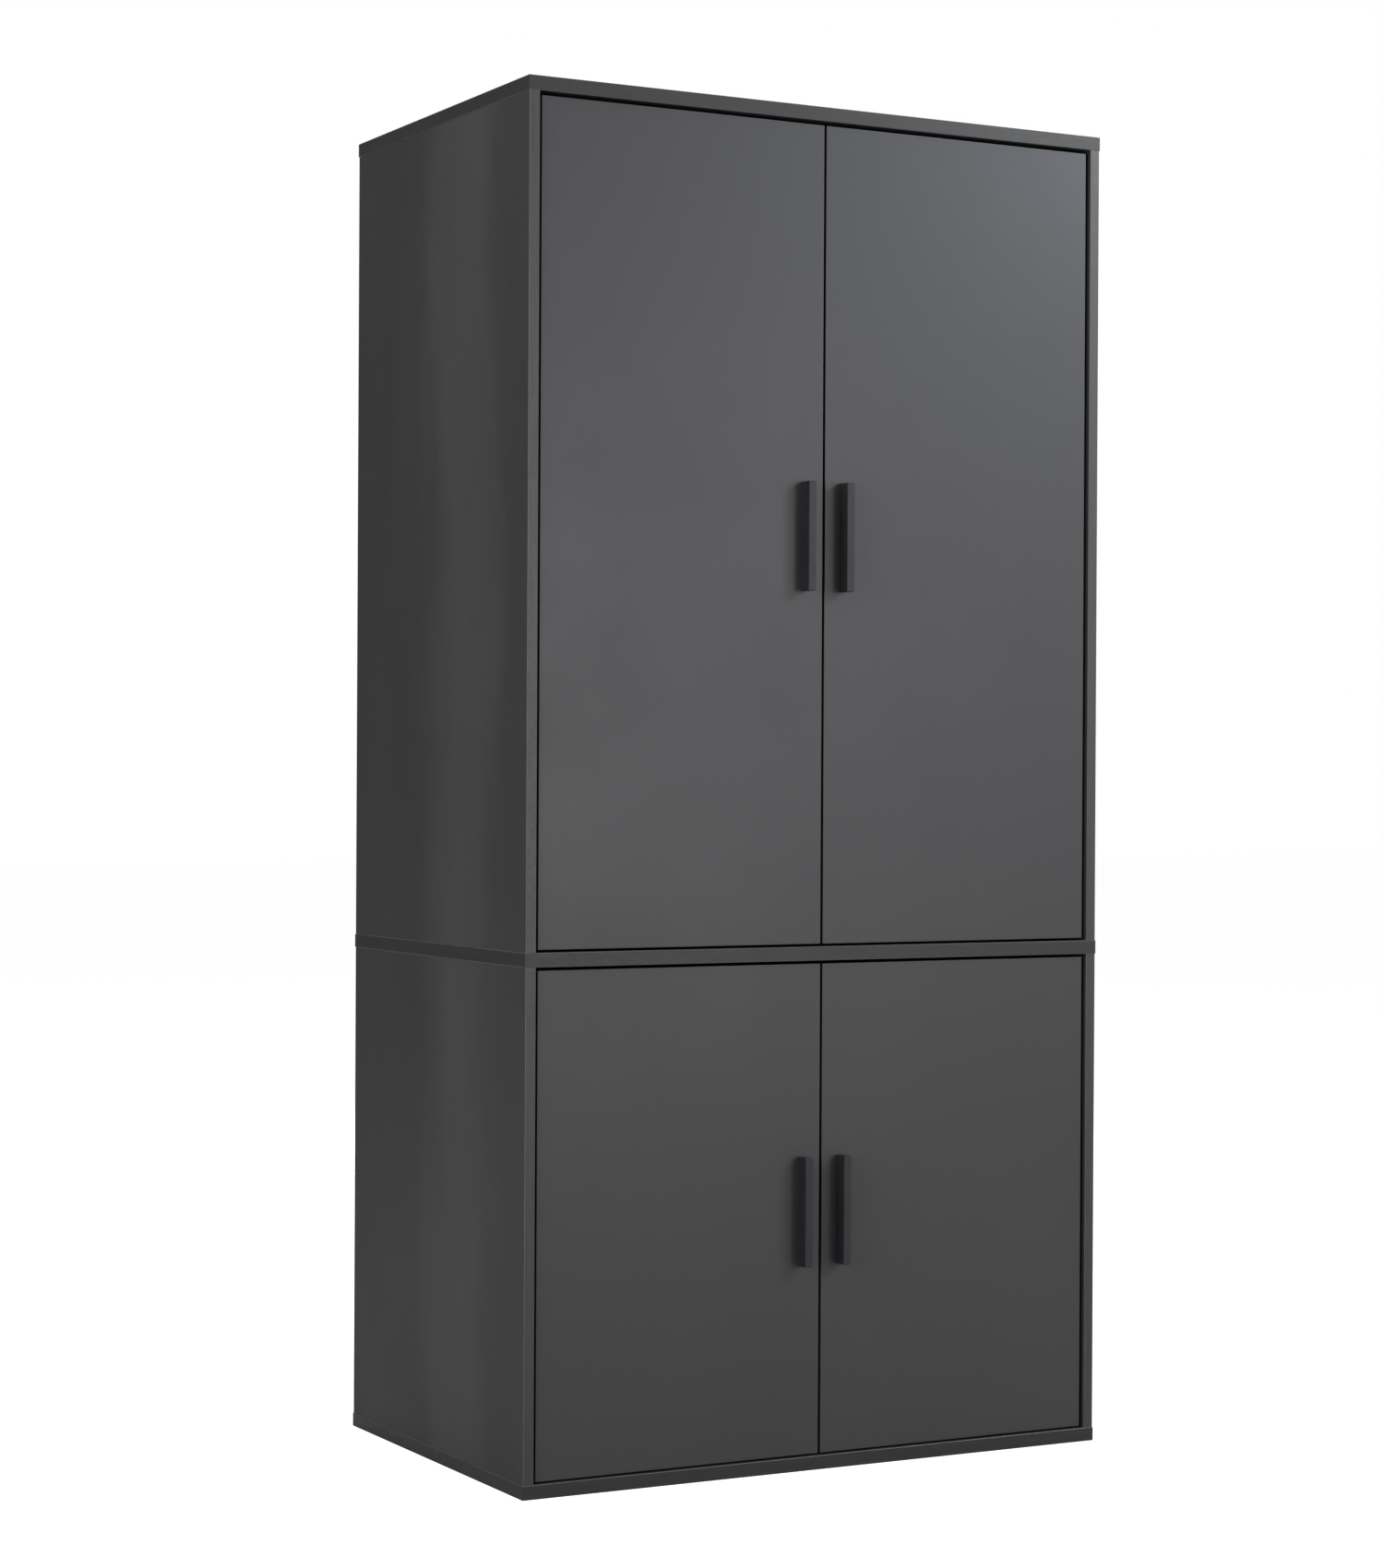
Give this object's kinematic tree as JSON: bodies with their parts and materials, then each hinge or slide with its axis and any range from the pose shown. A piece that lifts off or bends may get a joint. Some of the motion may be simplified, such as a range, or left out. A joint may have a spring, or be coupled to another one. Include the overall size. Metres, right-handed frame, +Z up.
{
  "type": "wardrobe",
  "caption": "Tall free-standing wardrobe with a hanging compartment over a cupboard, inset hinged doors and bar handles.",
  "frame": {"origin": "middle of the carcass's footprint, on the floor", "axes": "+Z up, the doors face -Y, +X is the right-hand side seen from the front"},
  "size_m": [0.968, 0.637, 2],
  "materials": {
    "carcass_board": "matt anthracite melamine on chipboard, fine open grain",
    "door_board": "smooth satin anthracite melamine on chipboard",
    "handle_black": "matt black powder coat",
    "hinge_steel": "nickel-plated pressed steel",
    "screw_steel": "zinc-plated",
    "fitting_steel": "nickel-plated",
    "rail_chrome": "chromed tube",
    "cam_zinc": "die-cast zinc",
    "dowel_beech": "raw beech",
    "back_board": "printed hardboard, dark grey"
  },
  "bodies": {
    "carcass": {"top_panel": "carcass_board", "middle_panel": "carcass_board", "bottom_panel": "carcass_board", "upper_left_side": "carcass_board", "upper_right_side": "carcass_board", "lower_left_side": "carcass_board", "lower_right_side": "carcass_board", "upper_back": "back_board", "lower_back": "back_board", "hat_shelf": "carcass_board", "lower_shelf": "carcass_board", "shelf_pins": "fitting_steel", "hanging_rail": "rail_chrome", "rail_sockets": "fitting_steel", "rail_socket_screws": "screw_steel", "dowels": "dowel_beech", "cam_bolts": "cam_zinc", "cam_locks": "cam_zinc", "wall_brackets": "fitting_steel", "bracket_screws": "screw_steel", "hinge_plates": "hinge_steel", "hinge_plate_screws": "screw_steel", "upper_left_hinge_arms": "hinge_steel", "upper_right_hinge_arms": "hinge_steel", "lower_left_hinge_arms": "hinge_steel", "lower_right_hinge_arms": "hinge_steel"},
    "upper_left_outer_links": {"upper_left_outer_links": "hinge_steel"},
    "upper_left_door": {"upper_left_door": "door_board", "upper_left_handle": "handle_black", "upper_left_handle_screws": "screw_steel", "upper_left_hinge_cups": "hinge_steel", "upper_left_cup_screws": "screw_steel"},
    "upper_left_inner_links": {"upper_left_inner_links": "hinge_steel"},
    "upper_right_outer_links": {"upper_right_outer_links": "hinge_steel"},
    "upper_right_door": {"upper_right_door": "door_board", "upper_right_handle": "handle_black", "upper_right_handle_screws": "screw_steel", "upper_right_hinge_cups": "hinge_steel", "upper_right_cup_screws": "screw_steel"},
    "upper_right_inner_links": {"upper_right_inner_links": "hinge_steel"},
    "lower_left_outer_links": {"lower_left_outer_links": "hinge_steel"},
    "lower_left_door": {"lower_left_door": "door_board", "lower_left_handle": "handle_black", "lower_left_handle_screws": "screw_steel", "lower_left_hinge_cups": "hinge_steel", "lower_left_cup_screws": "screw_steel"},
    "lower_left_inner_links": {"lower_left_inner_links": "hinge_steel"},
    "lower_right_outer_links": {"lower_right_outer_links": "hinge_steel"},
    "lower_right_door": {"lower_right_door": "door_board", "lower_right_handle": "handle_black", "lower_right_handle_screws": "screw_steel", "lower_right_hinge_cups": "hinge_steel", "lower_right_cup_screws": "screw_steel"},
    "lower_right_inner_links": {"lower_right_inner_links": "hinge_steel"}
  },
  "joints": [
    {"name": "upper_left_door_swing", "type": "hinge", "parent": "carcass", "child": "upper_left_outer_links", "pos_m": [-0.4294, -0.2845, 1.37395], "axis": [0, 0, -1], "range_deg": [0, 31]},
    {"name": "upper_left_cup_turn", "type": "hinge", "parent": "upper_left_outer_links", "child": "upper_left_door", "pos_m": [-0.4484, -0.296, 1.37395], "axis": [0, 0, -1], "range_deg": [0, 69.01]},
    {"name": "upper_left_inner_link_swing", "type": "hinge", "parent": "carcass", "child": "upper_left_inner_links", "pos_m": [-0.4207, -0.2742, 1.37395], "axis": [0, 0, -1], "range_deg": [0, 4.01]},
    {"name": "upper_right_door_swing", "type": "hinge", "parent": "carcass", "child": "upper_right_outer_links", "pos_m": [0.4294, -0.2845, 1.37395], "axis": [0, 0, 1], "range_deg": [0, 31]},
    {"name": "upper_right_cup_turn", "type": "hinge", "parent": "upper_right_outer_links", "child": "upper_right_door", "pos_m": [0.4484, -0.296, 1.37395], "axis": [0, 0, 1], "range_deg": [0, 69.01]},
    {"name": "upper_right_inner_link_swing", "type": "hinge", "parent": "carcass", "child": "upper_right_inner_links", "pos_m": [0.4207, -0.2742, 1.37395], "axis": [0, 0, 1], "range_deg": [0, 4.01]},
    {"name": "lower_left_door_swing", "type": "hinge", "parent": "carcass", "child": "lower_left_outer_links", "pos_m": [-0.4294, -0.2845, 0.38425], "axis": [0, 0, -1], "range_deg": [0, 31]},
    {"name": "lower_left_cup_turn", "type": "hinge", "parent": "lower_left_outer_links", "child": "lower_left_door", "pos_m": [-0.4484, -0.296, 0.38425], "axis": [0, 0, -1], "range_deg": [0, 69.01]},
    {"name": "lower_left_inner_link_swing", "type": "hinge", "parent": "carcass", "child": "lower_left_inner_links", "pos_m": [-0.4207, -0.2742, 0.38425], "axis": [0, 0, -1], "range_deg": [0, 4.01]},
    {"name": "lower_right_door_swing", "type": "hinge", "parent": "carcass", "child": "lower_right_outer_links", "pos_m": [0.4294, -0.2845, 0.38425], "axis": [0, 0, 1], "range_deg": [0, 31]},
    {"name": "lower_right_cup_turn", "type": "hinge", "parent": "lower_right_outer_links", "child": "lower_right_door", "pos_m": [0.4484, -0.296, 0.38425], "axis": [0, 0, 1], "range_deg": [0, 69.01]},
    {"name": "lower_right_inner_link_swing", "type": "hinge", "parent": "carcass", "child": "lower_right_inner_links", "pos_m": [0.4207, -0.2742, 0.38425], "axis": [0, 0, 1], "range_deg": [0, 4.01]}
  ],
  "couplings": [
    {"joint": "upper_left_cup_turn", "follows": "upper_left_door_swing", "ratio": 2.2258},
    {"joint": "upper_left_inner_link_swing", "follows": "upper_left_door_swing", "ratio": 0.12903},
    {"joint": "upper_right_cup_turn", "follows": "upper_right_door_swing", "ratio": 2.2258},
    {"joint": "upper_right_inner_link_swing", "follows": "upper_right_door_swing", "ratio": 0.12903},
    {"joint": "lower_left_cup_turn", "follows": "lower_left_door_swing", "ratio": 2.2258},
    {"joint": "lower_left_inner_link_swing", "follows": "lower_left_door_swing", "ratio": 0.12903},
    {"joint": "lower_right_cup_turn", "follows": "lower_right_door_swing", "ratio": 2.2258},
    {"joint": "lower_right_inner_link_swing", "follows": "lower_right_door_swing", "ratio": 0.12903}
  ]
}
